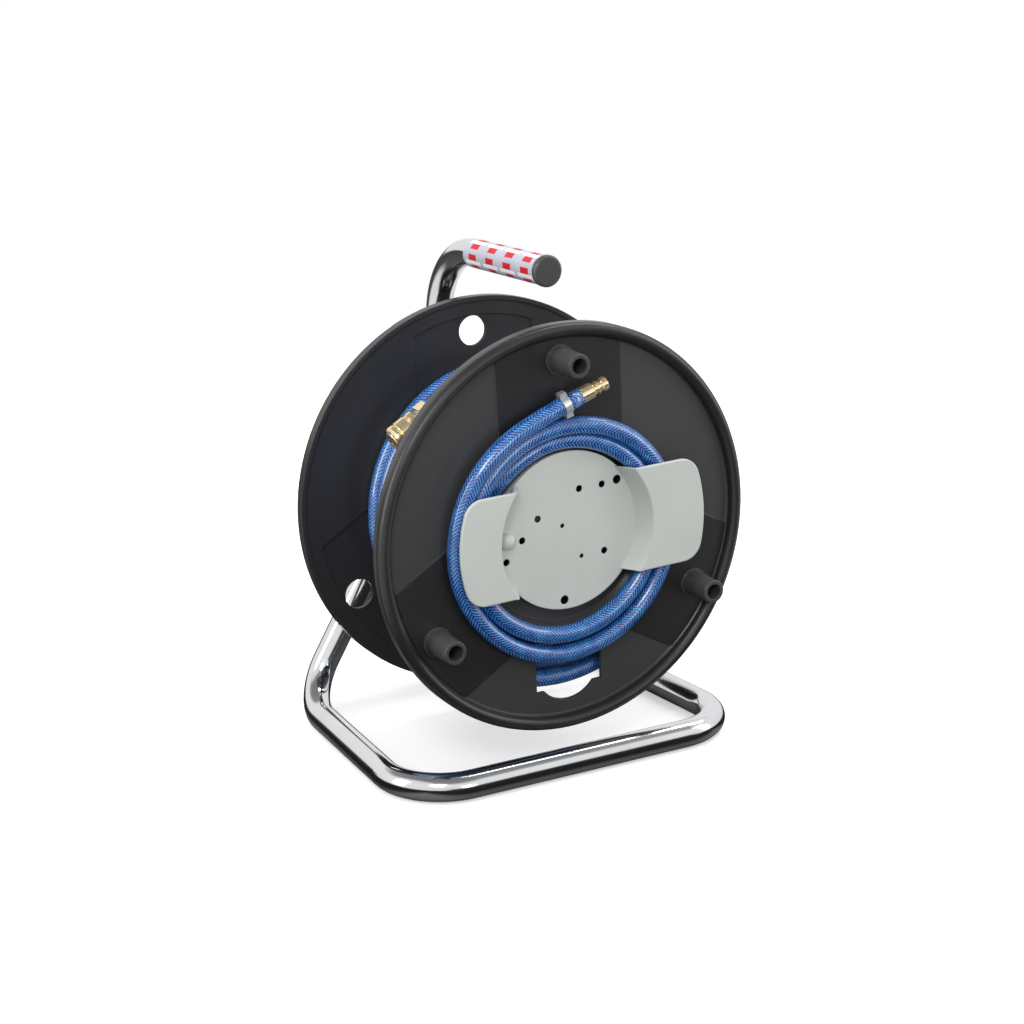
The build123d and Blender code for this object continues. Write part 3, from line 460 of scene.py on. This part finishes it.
# Loose turns at the front: angle, radius and depth of the hose's line.
front_turns = [
    (180, 90.6, -5.0),
    (207, 89.6, -4.8),
    (220, 89.0, -4.8),
    (258, 88.3, -4.8),
    (290, 86.3, -4.8),
    (323, 83.6, -5.0),
    (360, 81.0, -5.6),
    (388, 78.6, -6.2),
    (412, 76.5, -6.8),
    (429, 75.4, -7.2),
    (447, 75.2, -6.9),
    (462, 75.7, -5.4),
    (478, 76.8, -4.7),
    (490, 77.2, -4.6),
    (508, 79.2, -4.6),
    (538, 79.2, -5.0),
    (574, 77.2, -5.2),
    (603, 74.8, -5.2),
    (630, 73.0, -5.2),
    (658, 70.9, -5.0),
    (718, 68.4, -4.8),
    (752, 66.3, -4.4),
    (765, 65.2, -4.0),
    (782, 64.3, -3.4),
    (799, 64.4, -2.8),
    (814, 64.9, -1.2),
    (826, 65.0, 0.4),
    (840, 65.2, 0.6),
    (850, 65.5, 1.2),
    (862, 66.0, 3.2),
    (870, 66.4, 5.2),
]
# Wound layers: each turn's radius and depth, from the core outward and from side to side.
LAYER_R = (66.45, 77.1, 87.75, 98.4, 109.05)
FOREMOST = 16.45  # depth of the turn beside the front web
PITCH = 12.55  # from one turn to the next
wound = [(LAYER_R[0], FOREMOST + PITCH * turn) for turn in range(9)]
wound += [(LAYER_R[1], 110.575 - PITCH * turn) for turn in range(8)]
wound += [(LAYER_R[2], FOREMOST + PITCH * turn) for turn in range(9)]
wound += [(LAYER_R[3], 98.025 - PITCH * turn) for turn in range(7)]
wound += [(LAYER_R[4], FOREMOST), (LAYER_R[4], 29.0)]
SAG = 3.2  # the outermost turns hang this far down under the drum, and the layer below by half
CROSSING = 32.0  # each turn steps over to the next within this angle of the right-hand side


def wound_at(degrees):
    """Radius and depth of the wound hose at an angle counted on from the first turn."""
    turn = int(degrees // 360)
    here = degrees - 360 * turn
    share = 0.0
    other = turn
    if here < CROSSING:
        other = max(turn - 1, 0)
        share = 0.5 - here / (2 * CROSSING)
    elif here > 360 - CROSSING:
        other = min(turn + 1, len(wound) - 1)
        share = 0.5 - (360 - here) / (2 * CROSSING)
    share = share * share * (3 - 2 * share)
    radius, depth = (a + (b - a) * share for a, b in zip(wound[turn], wound[other]))
    sag = SAG * max(0.0, math.cos(math.radians(here - 268))) ** 2
    if turn >= len(wound) - 2:
        radius += sag
    elif turn >= len(wound) - 9:
        radius += sag / 2
    return radius, depth


FRONT_START, FRONT_END = 180, 868  # angles between which the front turns are read
RAMP_END = 200  # the ramp is read up to this angle of the first wound turn
WINDING_END = 235  # and the last wound turn is followed up to this one
front = list(tail)
at = FRONT_START
while at < FRONT_END:
    radius, depth = blend(front_turns, at)
    front.append(on_drum(radius * OUT, at, depth))
    at += STEP
# On from the slot to the first wound turn: angle, radius and depth.
ramp = [
    (148, 66.4, 4.8),
    (160, 66.5, 8.6),
    (174, 66.5, 12.8),
    (186, 66.5, 15.4),
    (198, 66.45, 16.4),
]
back = []
at -= 2 * 360
while at < RAMP_END:
    radius, depth = blend(ramp, at)
    back.append(on_drum(radius * OUT, at, depth))
    at += STEP
last_turn = 360 * (len(wound) - 1)
while at < last_turn + WINDING_END:
    radius, depth = wound_at(at)
    back.append(on_drum(radius * OUT, at, depth))
    at += STEP
# The last turn lies on the fourth layer and rises to the coupler: angles and depths.
lead = [
    (-110, 37.5),
    (-89, 41.4),
    (-67, 42.35),
    (-40, 43.85),
    (-12, 45.35),
    (16, 46.95),
    (44, 48.55),
    (72, 50.15),
    (99, 52.6),
]
LEAD_R = (104.55 + 6.15 + 0.4) / math.cos(math.radians(14))
STRAIGHT_BACK = 0.0315  # where the hose is in line with the coupler, behind its zero
HOSE_END_BACK = 0.008
back += [on_drum(LEAD_R, degrees, depth) for degrees, depth in lead]
back += [COUPLER_ZERO - COUPLER_MOUTH * far for far in (STRAIGHT_BACK, HOSE_END_BACK)]
join = (front[-1] + back[0]) / 2


def smooth_line(points, name):
    """Points read from one open NURBS spline with the given control points."""
    data = bpy.data.curves.new(name, "CURVE")
    data.dimensions = "3D"
    data.resolution_u = 6
    spline = data.splines.new("NURBS")
    spline.points.add(len(points) - 1)
    for point, place in zip(spline.points, points):
        point.co = (*place, 1)
    spline.order_u = 3
    spline.use_endpoint_u = True
    curve = bpy.data.objects.new(name, data)
    bpy.context.scene.collection.objects.link(curve)
    mesh = bpy.data.meshes.new_from_object(curve)
    line = [vertex.co.copy() for vertex in mesh.vertices]
    bpy.data.objects.remove(curve)
    bpy.data.meshes.remove(mesh)
    return [p for p, q in zip(line, line[1:]) if (p - q).length > 1e-6] + [line[-1]]


def tube(line, radius, name, sides=20):
    """A round tube along a line, closed at its far end, with v in metres and u once round."""
    mesh = bmesh.new()
    uv_layer = mesh.loops.layers.uv.new("hose")
    rings = []
    travelled = [0.0]
    normal = None
    for index, here in enumerate(line):
        before = line[max(index - 1, 0)]
        after = line[min(index + 1, len(line) - 1)]
        ahead = (after - before).normalized()
        if normal is None:
            normal = ahead.orthogonal().normalized()
        normal = (normal - ahead * normal.dot(ahead)).normalized()
        across = ahead.cross(normal)
        ring = []
        for side in range(sides):
            angle = 2 * math.pi * side / sides
            out = normal * math.cos(angle) + across * math.sin(angle)
            ring.append(mesh.verts.new(here + out * radius))
        rings.append(ring)
        if index:
            travelled.append(travelled[-1] + (here - line[index - 1]).length)
    for index in range(len(rings) - 1):
        for side in range(sides):
            after = (side + 1) % sides
            this, following = rings[index], rings[index + 1]
            face = mesh.faces.new((this[side], this[after], following[after], following[side]))
            face.smooth = True
            corners = ((side, index), (side + 1, index), (side + 1, index + 1), (side, index + 1))
            for loop, (u, v) in zip(face.loops, corners):
                loop[uv_layer].uv = (u / sides, travelled[v])
    mesh.faces.new(rings[-1])
    mesh.normal_update()
    data = bpy.data.meshes.new(name)
    mesh.to_mesh(data)
    mesh.free()
    data.materials.append(hose)
    piece = bpy.data.objects.new(name, data)
    bpy.context.scene.collection.objects.link(piece)
    return piece, travelled[-1]


def lay_hose(points, name, replaced):
    line = smooth_line(points, name + "_line")
    piece, length = tube(line, HOSE_R, name)
    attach(piece, "drum")
    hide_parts(*replaced)


lay_hose(
    [join] + list(reversed(front)),
    "feed_hose",
    ("hose_feed_coil", "hose_feed_tail"),
)
lay_hose(
    [join] + back,
    "main_hose",
    ("hose_winding", "hose_slot_run", "hose_lead_out"),
)


# ---------------------------------------------------------------- floor, world and lights
def floor(radius=1.6, corners=96, height=-0.0002):
    """White paper for the camera, which keeps the shadow.

    Every other ray meets dark paper, which fades out away from the stand.
    """
    mesh = bmesh.new()
    turns = [2 * math.pi * i / corners for i in range(corners)]
    ring = [(radius * math.cos(turn), radius * math.sin(turn), height) for turn in turns]
    mesh.faces.new([mesh.verts.new(place) for place in ring])
    data = bpy.data.meshes.new("floor")
    mesh.to_mesh(data)
    mesh.free()
    piece = bpy.data.objects.new("floor", data)
    bpy.context.scene.collection.objects.link(piece)
    n = Nodes("floor_paper")
    n.surface(Base_Color=grey(0.80), Roughness=0.9, Specular_IOR_Level=0.1)
    spot = n.spot()
    x, y, _ = n.split(spot)
    glow = n.spread(n.length(spot), 0.25, 0.80, 0.42, 1.05, True)
    lit = n.add("ShaderNodeEmission", 0, Color=grey(1.0), Strength=glow)
    seen = n.tree.nodes.new("ShaderNodeAddShader")
    n.put(seen.inputs[0], n.shader.outputs[0])
    n.put(seen.inputs[1], lit)
    wide = n.math("SUBTRACT", n.math("ABSOLUTE", x), STAND_HALF[0])
    deep = n.math("SUBTRACT", n.math("ABSOLUTE", y), STAND_HALF[1])
    beyond = n.math("MAXIMUM", wide, deep)
    tone = n.spread(beyond, 0.0, 0.012, 0.13, 0.012)
    paper = n.add("ShaderNodeCombineColor", 0, Red=tone, Green=tone, Blue=tone)
    near = n.add("ShaderNodeBsdfDiffuse", 0, Color=paper)
    away = n.add("ShaderNodeBsdfTransparent", 0)
    dark = n.mix_shaders(n.spread(beyond, 0.12, 0.22), near, away)
    path = n.tree.nodes.new("ShaderNodeLightPath")
    pick = n.mix_shaders(path.outputs["Is Camera Ray"], dark, seen.outputs[0])
    n.put(n.tree.nodes["Material Output"].inputs["Surface"], pick)
    data.materials.append(n.material)


floor()

# The room as shiny pieces see it, from straight down at 0 to straight up at 1, with pale walls
# on either side, 10 degrees round from the x axis.
ROOM = (
    (0.00, 0.12),
    (0.46, 0.06),
    (0.52, 0.06),
    (0.55, 0.90),
    (0.80, 0.95),
    (0.87, 0.30),
    (1.00, 0.22),
)
SIDE = (0.985, 0.174, 0.0)
WALL = (0.35, 0.60, 0.0, 0.85)  # from where to where it fades in, and from what to what
PLAIN = 0.62  # the even light that everything else gets


def studio():
    """White to the camera, the room to shiny pieces, and even light to everything else."""
    world = bpy.data.worlds.new("studio")
    bpy.context.scene.world = world
    world.use_nodes = True
    tree = world.node_tree
    tree.nodes.clear()

    def join_up(source, socket):
        tree.links.new(source, socket)

    def math_node(operation, first, second=None, third=None):
        node = tree.nodes.new("ShaderNodeMath")
        node.operation = operation
        for socket, value in zip(node.inputs, (first, second, third)):
            if isinstance(value, bpy.types.NodeSocket):
                join_up(value, socket)
            elif value is not None:
                socket.default_value = value
        return node.outputs[0]

    def shade(strength):
        node = tree.nodes.new("ShaderNodeBackground")
        node.inputs["Color"].default_value = grey(1)
        node.inputs["Strength"].default_value = strength
        return node

    def choose(share, first, second):
        node = tree.nodes.new("ShaderNodeMixShader")
        for socket, source in zip(node.inputs, (share, first, second)):
            join_up(source, socket)
        return node.outputs[0]

    spot = tree.nodes.new("ShaderNodeTexCoord").outputs["Generated"]
    split = tree.nodes.new("ShaderNodeSeparateXYZ")
    join_up(spot, split.inputs[0])
    ramp_node = tree.nodes.new("ShaderNodeValToRGB")
    stops = ramp_node.color_ramp.elements
    for stop, (place, value) in zip(stops, (ROOM[0], ROOM[-1])):
        stop.position = place
        stop.color = grey(value)
    for place, value in ROOM[1:-1]:
        stops.new(place).color = grey(value)
    join_up(math_node("MULTIPLY_ADD", split.outputs[2], 0.5, 0.5), ramp_node.inputs[0])
    across = tree.nodes.new("ShaderNodeVectorMath")
    across.operation = "DOT_PRODUCT"
    across.inputs[1].default_value = SIDE
    join_up(spot, across.inputs[0])
    wall = tree.nodes.new("ShaderNodeMapRange")
    wall.interpolation_type = "SMOOTHSTEP"
    for socket, value in zip(wall.inputs[1:], WALL):
        socket.default_value = value
    join_up(math_node("ABSOLUTE", across.outputs["Value"]), wall.inputs[0])
    shiny = shade(1.0)
    room = math_node("MAXIMUM", ramp_node.outputs[0], wall.outputs[0])
    join_up(room, shiny.inputs["Strength"])
    path = tree.nodes.new("ShaderNodeLightPath")
    unseen = choose(path.outputs["Is Glossy Ray"], shade(PLAIN).outputs[0], shiny.outputs[0])
    seen = choose(path.outputs["Is Camera Ray"], unseen, shade(1.0).outputs[0])
    join_up(seen, tree.nodes.new("ShaderNodeOutputWorld").inputs[0])


studio()


def softbox(name, place, target, width, height, power):
    data = bpy.data.lights.new(name, "AREA")
    data.shape = "RECTANGLE"
    data.size = width
    data.size_y = height
    data.energy = power
    lamp = bpy.data.objects.new(name, data)
    bpy.context.scene.collection.objects.link(lamp)
    lamp.location = place
    aim = Vector(target) - Vector(place)
    lamp.rotation_euler = aim.to_track_quat("-Z", "Y").to_euler()
    lamp.visible_camera = False
    return lamp


softbox("top_light", (-0.2, -0.3, 1.7), (0, 0, 0.15), 1.4, 1.0, 14).visible_glossy = False
softbox("rim_light", (0.85, 0.0, 1.55), (0, 0, 0.17), 0.3, 1.1, 7)
softbox("key_light", (-1.1, -1.5, 1.3), (0, 0, 0.17), 0.6, 0.6, 11.5)
softbox("front_light", (0.2, -1.9, 0.42), (0, 0, 0.17), 0.5, 0.45, 2.5)
softbox("left_light", (-1.7, 0.1, 0.7), (0, 0, 0.17), 0.5, 1.2, 11)
softbox("right_light", (1.5, -0.9, 0.7), (0, 0, 0.15), 0.4, 1.2, 6)

bpy.context.view_layer.update()
